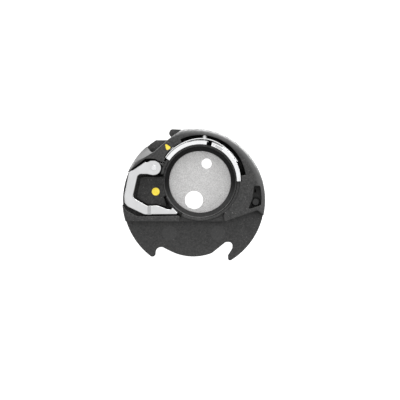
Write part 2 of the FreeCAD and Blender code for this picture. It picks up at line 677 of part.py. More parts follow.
def make_floor_plate():
    """The steel disc in the floor of the well, with its two holes."""
    body = new_body("floor_plate")
    disc = flat_sketch(body, "disc_circle", "plate_seat", "well_x", "well_y")
    add_circle(disc, "plate_radius")
    plate = pad(body, "disc", disc, "plate_thick")
    top = size("plate_seat + plate_thick")
    edges = flat_edges(plate.Shape, top)
    dress(body, "Chamfer", "disc_bevel", plate, edges, "plate_bevel")
    for name, radius, x, y in (("spindle", "spindle_hole", "0", "0"),
                               ("drive", "drive_hole", "drive_hole_x", "drive_hole_y")):
        hole = flat_sketch(body, f"{name}_circle", "plate_seat + plate_thick", x, y)
        add_circle(hole, radius)
        cut = pocket(body, f"{name}_opening", hole, "plate_thick")
        rim = [
            edge for edge in flat_edges(cut.Shape, top, curves_only=True)
            if abs(cut.Shape.getElement(edge).Curve.Radius - size(radius)) < SAME
        ]
        dress(body, "Chamfer", f"{name}_bevel", cut, rim, "plate_bevel * 0.5")
    return body


def plate_profile():
    """The L of a guard plate: a top flange over the cup wall and a skirt behind it."""
    return [
        ("guard_inner", "ring_top"), ("guard_skirt_inner", "ring_top"),
        ("guard_skirt_inner", "guard_low"), ("guard_outer", "guard_low"),
        ("guard_outer", "guard_top - guard_bend"),
        ("guard_outer - guard_bend / 3", "guard_top - guard_bend / 3"),
        ("guard_outer - guard_bend", "guard_top"), ("guard_inner", "guard_top"),
    ]


def make_guard_plate():
    """The right plate, with its thread guide slot, fine lines and pin hole."""
    body = new_body("guard_plate")
    sector(body, "Revolution", "plate", plate_profile(), "right_plate_start", "right_plate_sweep")
    over = "guard_top + past"
    line_floor = "guard_top - crease_deep"
    slot_floor = "guard_top - guide_slot_deep"
    crease_end = "right_plate_start + crease_sweep"
    slot = "guide_slot_radius", "guide_slot_width / 2"
    crease = "crease_radius", "crease_width / 2"
    cuts = [
        ("guide_slot", block(f"{slot[0]} - {slot[1]}", f"{slot[0]} + {slot[1]}", slot_floor, over),
         "guide_slot_start", "guide_slot_sweep"),
        ("crease", block(f"{crease[0]} - {crease[1]}", f"{crease[0]} + {crease[1]}", line_floor, over),
         "right_plate_start", "crease_sweep"),
        ("score", block("guard_inner - past", "guard_outer + past", line_floor, over),
         crease_end, "score_width"),
    ]
    for name, corners, start, sweep in cuts:
        sector(body, "Groove", name, corners, start, sweep)
    pin = flat_sketch(body, "pin_circle", "guard_top", "well_x", "well_y")
    add_circle(pin, "guard_pin_radius", *GUARD_PIN_PLACE)
    pocket(body, "pin_hole", pin, "guard_top - ring_top")
    return body


def make_screw_plate():
    """The left plate, whose skirt carries both screws."""
    body = new_body("screw_plate")
    sector(body, "Revolution", "plate", plate_profile(), "left_plate_start", "left_plate_sweep")
    sector(body, "Revolution", "skirt_lap_ring",
           block("guard_skirt_inner", "guard_outer", "guard_low", "ring_top - thread_lip_deep"),
           "left_plate_start - skirt_lap", "skirt_lap + past")
    for name, angle in (("tension", "screw_angle"), ("fixing", "fixing_angle")):
        radial_bore(body, f"{name}_hole", angle, "screw_hole", "cup_radius", "groove_outer")
    return body


def make_guard_pin():
    """The small pin that keeps the guard plate from sliding in its groove."""
    body = new_body("guard_pin")
    circle = flat_sketch(body, "pin_circle", "guard_top - guard_pin_long", "well_x", "well_y")
    add_circle(circle, "guard_pin_radius", *GUARD_PIN_PLACE)
    pad(body, "pin", circle, "guard_pin_long")
    return body


def leaf_radius(angle):
    """Distance of the leaf's inner face from the bobbin axis at an angle in degrees."""
    first = size("bulge_start")
    last = size("bulge_end")
    if not first < angle < last:
        return size("leaf_inner")
    wave = math.sin(math.pi * (angle - first) / (last - first))
    return size("leaf_inner") + size("leaf_bulge") * wave ** 2


def leaf_face(offset):
    """Points along one face of the leaf, from its free end to its fixed end."""
    first = size("leaf_start")
    last = size("leaf_end")
    points = []
    for step in range(LEAF_STEPS + 1):
        angle = first + (last - first) * step / LEAF_STEPS
        turn = math.radians(angle)
        toe = size("leaf_toe") if step == 0 else 0
        reach = leaf_radius(angle) + offset + toe
        points.append(Vector(reach * math.cos(turn), reach * math.sin(turn), 0))
    return points


def make_tension_leaf():
    """The spring leaf: it lies on the screw plate, bows out, and lands on the guard plate."""
    body = new_body("tension_leaf")
    outline = flat_sketch(body, "leaf_outline", "leaf_low", "well_x", "well_y")
    inner = leaf_face(0)
    outer = leaf_face(size("leaf_thick"))
    for points in (inner, outer):
        curve = Part.BSplineCurve()
        curve.interpolate(points)
        outline.addGeometry(curve, False)
    outline.addGeometry(Part.LineSegment(inner[0], outer[0]), False)
    outline.addGeometry(Part.LineSegment(inner[-1], outer[-1]), False)
    for number in range(outline.GeometryCount):
        outline.addConstraint(Sketcher.Constraint("Block", number))
    pad(body, "leaf", outline, "leaf_high - leaf_low")
    for name, angle in (("tension", "screw_angle"), ("fixing", "fixing_angle")):
        radial_bore(body, f"{name}_hole", angle, "leaf_hole", "guard_outer", "slot_outer")
    return body


def make_screw(label, angle, seat):
    """A slotted cheese-head screw on an axis that points out from the bobbin axis."""
    body = new_body(label)
    profile = upright_sketch(body, f"{label}_profile")
    shank_end = f"screw_end - {seat}"
    add_polygon(profile, [
        ("0", shank_end), ("screw_shank - break_edge", shank_end),
        ("screw_shank", f"{shank_end} + break_edge"), ("screw_shank", "0"),
        ("screw_head", "0"), ("screw_head", "screw_head_tall - break_edge"),
        ("screw_head - break_edge", "screw_head_tall"), ("0", "screw_head_tall"),
    ])
    turn_about(body, "Revolution", f"{label}_turned", profile)
    slot = flat_sketch(body, f"{label}_slot_outline", "screw_head_tall")
    add_polygon(slot, block("-1 * screw_head - past", "screw_head + past", "-1 * screw_slot / 2",
                            "screw_slot / 2"))
    pocket(body, f"{label}_slot", slot, "screw_slot_deep")
    body.Placement = radial_place(angle, seat, "screw_level")
    return body


def cut_joggle(body):
    """Step the lever from the side: the brake arm lies lower than the limb and the eye."""
    low = "lever_under - joggle"
    under = f"{low} - past"
    over = "lever_top + past"
    far_left = "-1 * rim_radius - 1"
    top_end = "joggle_x + joggle_run"
    low_start = "joggle_x - joggle_shift"
    low_end = "joggle_x - joggle_shift + joggle_run"
    steps = [
        ("arm_step", True, [("joggle_x", over), ("joggle_x", "lever_top"),
                            (top_end, "lever_top - joggle"), ("0", "lever_top - joggle"), ("0", over)]),
        ("limb_step", True, [(far_left, under), (low_end, under), (low_end, low),
                             (low_start, "lever_under"), (far_left, "lever_under")]),
        ("eye_step", False, block(far_left, "0", under, "lever_under")),
    ]
    for name, backwards, corners in steps:
        profile = upright_sketch(body, f"{name}_profile")
        add_polygon(profile, corners)
        pocket(body, name, profile, "lever_reach", backwards)


def make_brake_lever():
    """The stamped U lever: eye, outer limb, stepped brake arm and brake lip."""
    body = new_body("brake_lever")
    outline = flat_sketch(body, "lever_outline", "lever_under - joggle")
    add_outline(outline, LEVER_OUTLINE)
    pad(body, "blank", outline, "lever_top - lever_under + joggle")
    cut_joggle(body)
    sector(body, "Revolution", "brake_lip",
           block("lip_inner", "lip_outer", "lip_low", "lever_top - joggle"), "lip_start", "lip_sweep")
    hole = flat_sketch(body, "eye_circle", "lever_top", "pivot_x", "pivot_y")
    add_circle(hole, "pivot_hole")
    pocket(body, "eye_hole", hole, "lever_top - lever_under")
    round_top(body)
    foot, _ = spring_hook()
    hook = flat_sketch(body, "hook_circle", "lever_under")
    add_circle(hook, "hook_hole", str(round(foot.x, 4)), str(round(foot.y, 4)))
    pocket(body, "hook_hole", hook, "hook_depth", True)
    return body


def round_top(body):
    """Round the outer edge of the eye, the limb and the brake arm."""
    levels = (size("lever_top"), size("lever_top - joggle"))
    names = []
    for number, edge in enumerate(body.Shape.Edges, start=1):
        box = edge.BoundBox
        flat = any(abs(box.ZMin - level) < SAME and abs(box.ZMax - level) < SAME for level in levels)
        eye = edge.Curve.TypeId == "Part::GeomCircle" and edge.Closed
        across = box.XLength < SAME and box.YLength > size("lever_round")
        if flat and not eye and not across:
            names.append(f"Edge{number}")
    dress(body, "Fillet", "top_rounding", body.Tip, names, "lever_round")


def make_pivot_pin():
    """The headed pin that the lever turns on, riveted over under the flange."""
    body = new_body("lever_pivot_pin")
    profile = upright_sketch(body, "pin_profile", "pivot_x", "pivot_y")
    under_head = "lever_top + lever_gap"
    top = f"{under_head} + pivot_head_tall"
    add_polygon(profile, [
        ("0", "flange_under + tail_gap"), ("pivot_tail - break_edge", "flange_under + tail_gap"),
        ("pivot_tail", "flange_under + tail_gap + break_edge"),
        ("pivot_tail", "flange_under + pivot_tail_deep"),
        ("pivot_shank", "flange_under + pivot_tail_deep"), ("pivot_shank", under_head),
        ("pivot_head", under_head), ("pivot_head", f"{top} - break_edge"),
        ("pivot_head / 2", top), ("0", top),
    ])
    turn_about(body, "Revolution", "pin", profile)
    return body


def make_lever_washer():
    """The thin washer between the boss and the lever's eye."""
    body = new_body("lever_washer")
    profile = upright_sketch(body, "washer_profile", "pivot_x", "pivot_y")
    add_polygon(profile, block("pivot_hole", "washer_radius", "boss_top", "lever_under - lever_gap"))
    turn_about(body, "Revolution", "washer", profile)
    return body


def spring_hook():
    """Where the spring's moving leg turns up into the lever, and the way it then runs."""
    turn = math.radians(size("hook_angle"))
    start = Vector(size("pivot_x"), size("pivot_y"), 0)
    start += Vector(math.cos(turn), math.sin(turn), 0) * size("spring_coil")
    along = Vector(math.sin(turn), -math.cos(turn), 0)
    return start - along * size("hook_leg"), along


def spring_path():
    """The centre line of the lever spring's wire, from the hooked leg to the fixed leg."""
    pivot = Vector(size("pivot_x"), size("pivot_y"), 0)
    coil = size("spring_coil")
    low = Vector(0, 0, size("spring_low"))
    leg = spring_leg()
    first_turn = math.radians(size("hook_angle"))
    sweep = 2 * math.pi * size("spring_turns") + first_turn - leg["angle"]
    rise = size("spring_pitch") * sweep / (2 * math.pi)
    coil_points = []
    for step in range(COIL_STEPS + 1):
        share = step / COIL_STEPS
        turn = first_turn - sweep * share
        place = Vector(coil * math.cos(turn), coil * math.sin(turn), rise * share)
        coil_points.append(pivot + low + place)
    helix = Part.BSplineCurve()
    helix.interpolate(coil_points)
    bend = size("hook_bend")
    foot, along = spring_hook()
    knee = foot + low
    tip = foot + Vector(0, 0, size("lever_under + hook_depth - past"))
    up = Vector(0, 0, bend)
    runs = [
        Part.LineSegment(tip, knee + up),
        Part.Arc(knee + up, knee + (up + along * bend) * (1 - math.sqrt(0.5)), knee + along * bend),
        Part.LineSegment(knee + along * bend, coil_points[0]),
        helix,
        Part.LineSegment(coil_points[-1], leg["end"] + low + Vector(0, 0, rise)),
    ]
    return Part.Wire([run.toShape() for run in runs])


def make_lever_spring():
    """The torsion spring under the eye, which swings the lever back out of the well."""
    path = spring_path()
    start = path.Edges[0].valueAt(path.Edges[0].FirstParameter)
    ring = Part.Wire([Part.makeCircle(size("spring_wire"), start, Vector(0, 0, 1))])
    feature = doc.addObject("Part::Feature", "lever_spring")
    feature.Label = "lever_spring"
    feature.Shape = path.makePipeShell([ring], True, False)
    return feature


def make_pocket_plug():
    """The round plug pressed into the floor of the right pocket."""
    body = new_body("pocket_plug")
    profile = upright_sketch(body, "plug_profile", "plug_x", "plug_y")
    add_polygon(profile, [
        ("0", "plug_bottom"), ("plug_radius", "plug_bottom"),
        ("plug_radius", "plug_top - break_edge * 2"), ("plug_radius - break_edge * 2", "plug_top"),
        ("0", "plug_top"),
    ])
    turn_about(body, "Revolution", "plug", profile)
    return body


def make_marks():
    """The two painted marks, as thin inlays."""
    dot = new_body("dot_mark")
    circle = flat_sketch(dot, "dot_circle", "panel_top - mark_deep", "dot_x", "dot_y")
    add_circle(circle, "dot_radius")
    pad(dot, "dot", circle, "mark_deep + mark_proud")
    arrow = new_body("arrow_mark")
    outline = flat_sketch(arrow, "arrow_outline", "deck_top - mark_deep")
    add_outline(outline, ARROW_MARK)
    pad(arrow, "arrow", outline, "mark_deep + mark_proud")
    return [dot, arrow]


def make_all():
    """Build every sub-part."""
    parts = [
        make_case_body(),
        make_floor_plate(),
        make_guard_plate(),
        make_guard_pin(),
        make_screw_plate(),
        make_tension_leaf(),
        make_screw("tension_screw", "screw_angle", "screw_seat"),
        make_screw("leaf_fixing_screw", "fixing_angle", "fixing_seat"),
        make_brake_lever(),
        make_pivot_pin(),
        make_lever_washer(),
        make_lever_spring(),
        make_pocket_plug(),
    ]
    return parts + make_marks()


def check(parts):
    """Stop if anything in the document failed or any sub-part isn't one sound solid."""
    for item in doc.Objects:
        if "Invalid" in item.State or "Error" in item.State:
            raise RuntimeError(f"{item.Name} is {item.State}")
    for part in parts:
        shape = part.Shape
        if shape.isNull() or not shape.isValid():
            raise RuntimeError(f"{part.Label} has no valid shape")
        if len(shape.Solids) != 1:
            raise RuntimeError(f"{part.Label} has {len(shape.Solids)} solids")


def write(parts):
    """Write each sub-part to its own file."""
    os.makedirs("parts", exist_ok=True)
    for part in parts:
        part.Shape.exportStep(os.path.join("parts", f"{part.Label}.step"))


fill_sheet()
PARTS = make_all()
doc.recompute()
check(PARTS)
write(PARTS)
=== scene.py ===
"""Looks for the bobbin case: materials, rounded edges, floor, light and camera."""

import math

import bpy
from mathutils import Matrix, Vector


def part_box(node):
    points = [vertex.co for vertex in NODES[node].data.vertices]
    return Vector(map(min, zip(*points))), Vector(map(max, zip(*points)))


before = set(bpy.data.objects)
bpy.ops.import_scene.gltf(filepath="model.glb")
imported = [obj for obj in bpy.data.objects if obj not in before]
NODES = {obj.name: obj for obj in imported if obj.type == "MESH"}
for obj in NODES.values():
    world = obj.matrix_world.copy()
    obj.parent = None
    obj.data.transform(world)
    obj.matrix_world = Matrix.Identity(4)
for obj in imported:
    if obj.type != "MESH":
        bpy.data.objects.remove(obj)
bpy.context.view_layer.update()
MM = 0.001


def box_mm(node):
    """The low and high corners of a CAD node, in millimetres."""
    low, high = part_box(node)
    return low / MM, high / MM


# Sizes and places are in millimetres. These are read from model.glb.
BODY_LOW, BODY_HIGH = box_mm("case_body")
PLATE_LOW, PLATE_HIGH = box_mm("floor_plate")
WELL_CENTRE = (PLATE_LOW + PLATE_HIGH) / 2
RIM_RADIUS = BODY_HIGH.x
DECK_TOP = BODY_HIGH.z
PANEL_TOP = box_mm("dot_mark")[1].z
GUARD_TOP = box_mm("guard_plate")[1].z

# The bobbin well.
WELL_RADIUS = 11.0
# The lever spring's coil: how high it rises, and how far left of the pin its held leg stands.
COIL_RISE = 1.0
LEG_REACH = 2.5
# Where the guard plates' flat top ends and their bend begins, about the bobbin axis.
GUARD_BEND = 12.1
# The stretch where the tension leaf bows away from them, as ramps along X.
BOW_LEFT = (-3.0, -1.0)
BOW_RIGHT = (9.5, 8.0)
# Two faint round mould marks on the front flange.
MARK_PLACES = ((-7.45, -10.15), (7.45, -10.15))
MARK_RADIUS = 2.3

# The facet behind the lever: the way it faces, and its slope.
FACET_FACES = math.radians(121)
FACET_SLOPE = math.radians(34)
FACET_NORMAL = (
    math.cos(FACET_FACES) * math.sin(FACET_SLOPE),
    math.sin(FACET_FACES) * math.sin(FACET_SLOPE),
    math.cos(FACET_SLOPE),
)
# Which way the deck's band gets its painted highlight, seen from above, and which way the edges with a
# painted highlight face.
BAND_HIGHLIGHT_FACES = math.radians(50)
BAND_HIGHLIGHT_WAY = (math.cos(BAND_HIGHLIGHT_FACES), math.sin(BAND_HIGHLIGHT_FACES), 0.0)
LIT_EDGE_WAY = (-0.55, 0.83, 0.0)
# Edges that bend more than the first are rounded, and more than the second aren't shaded smooth.
ROUNDED_ANGLE = math.radians(35)
SHARP_ANGLE = math.radians(30)


class Graph:
    """A node tree, with short calls to add and join its nodes."""

    def __init__(self, tree):
        self.tree = tree

    def add(self, kind, settings=None, **inputs):
        """Add a node; i0, i1 and so on name an input by its place, other words by its name."""
        node = self.tree.nodes.new(kind if "Node" in kind else f"ShaderNode{kind}")
        for key, value in (settings or {}).items():
            setattr(node, key, value)
        for key, value in inputs.items():
            numbered = key[0] == "i" and key[1:].isdigit()
            self.feed(node.inputs[int(key[1:]) if numbered else key.replace("_", " ")], value)
        return node

    def feed(self, socket, value):
        """Link a socket, or set its default value."""
        if isinstance(value, bpy.types.NodeSocket):
            self.tree.links.new(value, socket)
        else:
            socket.default_value = value

    def in_mm(self, vector):
        """A vector in millimetres instead of metres."""
        return self.add("VectorMath", {"operation": "SCALE"}, i0=vector, Scale=1 / MM).outputs[0]

    def split(self, vector):
        """A vector's three numbers."""
        return tuple(self.add("SeparateXYZ", None, Vector=vector).outputs)

    def distance(self, x, y, centre=(0.0, 0.0)):
        """Distance from an upright axis."""
        across = self.maths("SUBTRACT", x, centre[0])
        along = self.maths("SUBTRACT", y, centre[1])
        flat = self.add("CombineXYZ", None, X=across, Y=along, Z=0.0).outputs[0]
        return self.add("VectorMath", {"operation": "LENGTH"}, i0=flat).outputs["Value"]

    def dot(self, first, second):
        """Two vectors' dot product: how far they point the same way."""
        node = self.add("VectorMath", {"operation": "DOT_PRODUCT"}, i0=first, i1=second)
        return node.outputs["Value"]

    def noise(self, place, per_mm, detail=4.0, roughness=0.55):
        """Noise with a number of features to the millimetre."""
        node = self.add("TexNoise", None, Vector=place, Scale=per_mm, Detail=detail, Roughness=roughness)
        return node.outputs["Fac"]

    def maths(self, operation, first, second):
        """One arithmetic step."""
        return self.add("Math", {"operation": operation}, i0=first, i1=second).outputs[0]

    def product(self, first, *others):
        """Several numbers multiplied together."""
        for other in others:
            first = self.maths("MULTIPLY", first, other)
        return first

    def spread(self, value, low, high, out_low=0.0, out_high=1.0, kind="SMOOTHSTEP"):
        """Map a value's range onto another, held at both ends."""
        node = self.add("MapRange", {"interpolation_type": kind}, Value=value, From_Min=low,
                        From_Max=high, To_Min=out_low, To_Max=out_high)
        return node.outputs[0]

    def mix(self, share, first, second):
        """Mix two colours."""
        return self.add("Mix", {"data_type": "RGBA"}, i0=share, i6=first, i7=second).outputs[2]

    def rounded(self, radius, samples):
        """The surface's normal, as if its edges were rounded."""
        return self.add("Bevel", {"samples": samples}, Radius=radius * MM).outputs[0]

    def edge_mask(self, radius, low, high):
        """1 along the edges, where a rounded normal leaves the true one."""
        true = self.add("NewGeometry").outputs["Normal"]
        same = self.dot(self.rounded(radius, samples=6), true)
        return self.spread(self.maths("SUBTRACT", 1.0, same), low, high)

    def bump(self, height, strength, distance, normal=None):
        """Bump from a height, where 1 stands as high as the distance."""
        node = self.add("Bump", None, Strength=strength, Distance=distance * MM, Height=height)
        if normal is not None:
            self.feed(node.inputs["Normal"], normal)
        return node.outputs[0]


class Paint(Graph):
    """A material, made by feeding its shader."""

    def __init__(self, name):
        self.material = bpy.data.materials.new(name)
        self.material.use_nodes = True
        super().__init__(self.material.node_tree)
        self.shader = self.tree.nodes["Principled BSDF"]

    def place(self):
        """Object coordinates in millimetres."""
        return self.in_mm(self.add("TexCoord").outputs["Object"])

    def finish(self, **inputs):
        """Feed the shader and return the material."""
        for key, value in inputs.items():
            self.feed(self.shader.inputs[key.replace("_", " ")], value)
        return self.material


def grey(level, warm=0.0):
    """A near-neutral linear colour."""
    return (level * (1 + warm), level, level * (1 - warm), 1.0)


def moulded_black():
    """Dark moulded body: mottled and grained, with painted highlights on its edges, scuffs and a painted
    highlight on its rim, and painted shade in its slots.
    """
    g = Paint("moulded_black")
    place = g.place()
    mottle = g.noise(place, 0.9, detail=7.0, roughness=0.62)
    grain = g.noise(place, 2.0, detail=5.0, roughness=0.75)
    soft_normal = g.rounded(0.35, samples=8)
    sky = g.add("AmbientOcclusion", {"samples": 8}, Distance=3.0 * MM).outputs["AO"]
    open_sky = g.spread(sky, 0.15, 0.8)
    base = grained_tone(g, place, mottle, grain)
    base = highlights_and_scuffs(g, place, soft_normal, base)
    base = shaded_tone(g, place, open_sky, base)
    height = g.maths("ADD", g.product(grain, 0.6), g.noise(place, 9.0, detail=3.0))
    return g.finish(
        Base_Color=base,
        Roughness=g.spread(mottle, 0.3, 0.7, 0.42, 0.54),
        Specular_IOR_Level=body_gloss(g, place, open_sky),
        Normal=g.bump(height, strength=0.45, distance=0.02, normal=soft_normal),
    )


def grained_tone(g, place, mottle, grain):
    """The bare moulding: cloudy dark grey with darker grain, a few pale specks and two marks."""
    cloudy = g.mix(g.spread(mottle, 0.3, 0.72), grey(0.039, -0.01), grey(0.064, 0.02))
    grained = g.mix(0.9, cloudy, grey(0.005))
    base = g.mix(g.spread(grain, 0.3, 0.7), grained, cloudy)
    specks = g.spread(g.noise(place, 1.7, detail=2.0, roughness=0.5), 0.68, 0.73)
    base = g.mix(specks, base, grey(0.13, 0.02))
    return g.mix(g.product(mould_marks(g, place), 0.45), base, grey(0.062))


def highlights_and_scuffs(g, place, soft_normal, base):
    """Painted highlights on the deck's band, its edges and the facet behind the lever, and pale scuffs with
    a painted highlight on the rim.
    """
    base = g.mix(band_highlight(g, place), base, grey(0.075))
    patchy = g.spread(g.noise(place, 1.6, detail=5.0), 0.3, 0.7, 0.45, 1.0)
    base = g.mix(g.product(lit_edge_highlight(g, place, soft_normal), patchy), base, grey(0.34))
    base = g.mix(rim_scuffs_and_highlight(g, place), base, grey(0.55))
    return g.mix(facet_sheen(g), base, grey(0.28))


def shaded_tone(g, place, open_sky, base):
    """Painted shade in slots and low places, painted light on the pocket's floor, and the well's wall
    painted lighter at the front and darker at the back, as the light falls.
    """
    shade = g.product(open_sky, g.spread(low_level(g, place), 0.0, 1.0, 1.0, 0.6))
    # Painted shade where little sky reaches, and on the low panel.
    base = g.mix(g.spread(shade, 0.0, 1.0, 0.42, 1.0), grey(0.004), base)
    # Painted light on the pocket's floor.
    base = g.mix(pocket_floor(g, place), base, grey(0.055))
    radius, backward = well_place(g, place)
    wall = g.spread(radius, WELL_RADIUS + 0.15, WELL_RADIUS - 0.05)
    # Painted light and shade: the wall is lighter at the front, where it faces the light, and darker at the
    # back.
    wall_tone = g.mix(g.spread(backward, 0.1, -0.7), grey(0.042), grey(0.15))
    return g.mix(wall, base, wall_tone)


def body_gloss(g, place, open_sky):
    """Gloss of the moulding: less in slots and low places, and hardly any in the well."""
    radius, _ = well_place(g, place)
    inside = g.spread(radius, WELL_RADIUS + 0.5, WELL_RADIUS + 0.1)
    gloss = g.product(open_sky, g.spread(low_level(g, place), 0.0, 1.0, 0.5, 0.28))
    return g.product(gloss, g.spread(inside, 0.0, 1.0, 1.0, 0.1))


def low_level(g, place):
    """1 on the panel inside the lever, less in front of the cup: both get painted shade, darker than the
    deck.
    """
    _, _, z = g.split(place)
    above = g.spread(z, PANEL_TOP - 1.1, PANEL_TOP - 0.6)
    below = g.spread(z, PANEL_TOP + 1.15, PANEL_TOP + 2.1, 1.0, 0.0)
    return g.product(above, below)


def well_place(g, place):
    """Distance from the bobbin axis, and how far to the back of it, from -1 to 1."""
    x, y, _ = g.split(place)
    radius = g.distance(x, y, WELL_CENTRE)
    back = g.maths("SUBTRACT", y, WELL_CENTRE.y)
    return radius, g.maths("DIVIDE", back, radius)


def pocket_floor(g, place):
    """1 on the floor of the right pocket, which catches some light."""
    low, high = box_mm("pocket_plug")
    x, _, z = g.split(place)
    right = g.spread(x, low.x - 2.5, low.x - 2.0)
    above = g.spread(z, low.z + 0.3, low.z + 0.6)
    below = g.spread(z, high.z + 0.2, high.z - 0.3)
    return g.product(right, above, below)


def mould_marks(g, place):
    """1 inside the two faint round marks on the front flange."""
    x, y, _ = g.split(place)
    inside = 0.0
    for centre in MARK_PLACES:
        mark = g.spread(g.distance(x, y, centre), MARK_RADIUS + 0.15, MARK_RADIUS - 0.15)
        inside = g.maths("ADD", inside, mark)
    return inside


def lit_edge_highlight(g, place, soft_normal):
    """1 along the back's edges that face the light, less on its others, and 0 in front and round the well: a
    painted highlight.
    """
    _, _, rise = g.split(soft_normal)
    on_edge = g.product(g.spread(rise, 0.99, 0.9), g.spread(rise, 0.15, 0.5))
    share = g.spread(g.dot(soft_normal, LIT_EDGE_WAY), 0.05, 0.4, 0.12, 1.0)
    _, y, z = g.split(place)
    high = g.spread(z, PANEL_TOP - 1.0, PANEL_TOP - 0.4, 0.15, 1.0)
    at_back = g.spread(y, 7.5, 10.5)
    radius, _ = well_place(g, place)
    off_ring = g.spread(radius, WELL_RADIUS + 1.0, WELL_RADIUS + 1.4)
    return g.product(on_edge, share, high, at_back, off_ring)


def facet_sheen(g):
    """1 on the facet behind the lever, which is painted paler: a painted reflection of the light."""
    true = g.add("NewGeometry").outputs["True Normal"]
    return g.spread(g.dot(true, FACET_NORMAL), 0.985, 0.996)


def band_highlight(g, place):
    """A painted highlight along the deck's edge, strongest on the right at the back."""
    x, y, z = g.split(place)
    radius = g.distance(x, y)
    facing = g.maths("DIVIDE", g.dot(place, BAND_HIGHLIGHT_WAY), radius)
    band = g.spread(radius, RIM_RADIUS - 2.2, RIM_RADIUS - 1.0)
    high = g.spread(z, DECK_TOP - 1.6, DECK_TOP - 1.0)
    return g.product(band, high, g.spread(facing, 0.25, 0.9))


def rim_scuffs_and_highlight(g, place):
    """Pale scuffs on the deck's outermost edge at the back, with a painted highlight where the light falls.
    """
    x, y, z = g.split(place)
    near_rim = g.spread(g.distance(x, y), RIM_RADIUS - 0.9, RIM_RADIUS - 0.2)
    high = g.spread(z, DECK_TOP - 1.6, DECK_TOP - 0.8)
    back = g.spread(y, 4.0, 16.0)
    speckle = g.spread(g.noise(place, 0.8, detail=8.0, roughness=0.7), 0.38, 0.58, 0.25, 1.0)
    return g.product(near_rim, high, back, speckle)


def sintered_steel():
    """Grey steel disc with a fine speckle, a few darker pits and a painted highlight along its edges."""
    g = Paint("sintered_steel")
    place = g.place()
    cloud = g.noise(place, 0.35)
    speckle = g.noise(place, 3.2, detail=5.0, roughness=0.75)
    pits = g.spread(g.noise(place, 1.7, detail=3.0, roughness=0.6), 0.68, 0.76)
    base = g.mix(g.spread(cloud, 0.35, 0.7), grey(0.8, 0.005), grey(0.88, 0.005))
    base = g.mix(g.spread(speckle, 0.36, 0.62), grey(0.6, 0.01), base)
    base = g.mix(g.product(pits, 0.5), base, grey(0.3, 0.01))
    # Painted highlight along the disc's edges.
    base = g.mix(g.edge_mask(0.12, low=0.02, high=0.3), base, grey(1.0))
    return g.finish(
        Base_Color=base,
        Metallic=0.8,
        Roughness=g.spread(speckle, 0.35, 0.7, 0.42, 0.32),
        Normal=g.bump(speckle, strength=0.12, distance=0.02),
    )


def plated(name, level, roughness, grain_per_mm, grain_depth, edge_highlight_level=1.0, shaded=False):
    """Bright metal with fine grain and cloudy polish, a painted highlight along its edges and, if shaded,
    painted shade on the guard plates.
    """
    g = Paint(name)
    place = g.place()
    stretched = g.add("VectorMath", {"operation": "MULTIPLY"}, i0=place, i1=(1.0, 6.0, 1.0))
    brushed = g.noise(stretched.outputs[0], grain_per_mm)
    cloud = g.noise(place, 0.5)
    base = g.mix(g.spread(cloud, 0.35, 0.7), grey(level * 0.94, -0.005), grey(level, -0.01))
    # Painted highlight along the edges.
    base = g.mix(g.edge_mask(0.15, low=0.02, high=0.3), base, grey(edge_highlight_level))
    # Painted shade on the guard plates' bend and in their fine cuts.
    if shaded:
        base = g.mix(g.product(guard_shade(g, place), 0.85), base, grey(0.06))
    return g.finish(
        Base_Color=base,
        Metallic=1.0,
        Roughness=g.spread(brushed, 0.3, 0.7, roughness * 0.85, roughness * 1.2),
        Normal=g.bump(brushed, strength=grain_depth, distance=0.01),
    )


def guard_shade(g, place):
    """1 on the guard plates' bend where the leaf bows away, and less in their fine cuts."""
    x, _, z = g.split(place)
    radius, _ = well_place(g, place)
    below = g.spread(z, GUARD_TOP - 0.05, GUARD_TOP - 0.25)
    cut = g.product(below, g.spread(radius, GUARD_BEND + 0.1, GUARD_BEND, 0.0, 0.4))
    bowed = g.product(g.spread(x, *BOW_LEFT), g.spread(x, *BOW_RIGHT))
    gap = g.product(bowed, g.spread(radius, GUARD_BEND + 0.05, GUARD_BEND + 0.2))
    return g.maths("MAXIMUM", cut, gap)


def bright_plate():
    """Polished plate round the well."""
    return plated("bright_plate", 0.97, roughness=0.22, grain_per_mm=4.0, grain_depth=0.1, shaded=True)


def spring_steel():
    """Rolled steel of the leaf and the wire."""
    return plated("spring_steel", 0.93, roughness=0.25, grain_per_mm=5.0, grain_depth=0.1)


def stamped_steel():
    """Satin steel of the lever."""
    return plated("stamped_steel", 0.74, roughness=0.34, grain_per_mm=3.0, grain_depth=0.25, edge_highlight_level=0.97)


def screw_steel():
    """Turned steel of the screws, the pins and the washer."""
    return plated("screw_steel", 0.86, roughness=0.26, grain_per_mm=5.0, grain_depth=0.12)


def yellow_paint():
    """Enamel dabbed into the recess: slightly uneven, darker at its rim."""
    g = Paint("yellow_paint")
    wave = g.noise(g.place(), 1.1, detail=3.0)
    base = g.mix(g.spread(wave, 0.35, 0.7), (0.95, 0.72, 0.035, 1), (1.0, 0.83, 0.10, 1))
    base = g.mix(g.edge_mask(0.25, low=0.01, high=0.4), base, (0.72, 0.50, 0.03, 1))
    return g.finish(Base_Color=base, Roughness=0.38, Normal=g.bump(wave, strength=0.35, distance=0.08))


def black_plug():
    """Darker pressed-in plug."""
    g = Paint("black_plug")
    grain = g.noise(g.place(), 6.0)
    base = g.mix(g.spread(grain, 0.3, 0.7), grey(0.026), grey(0.036))
    return g.finish(Base_Color=base, Roughness=0.5, Normal=g.bump(grain, strength=0.3, distance=0.02))


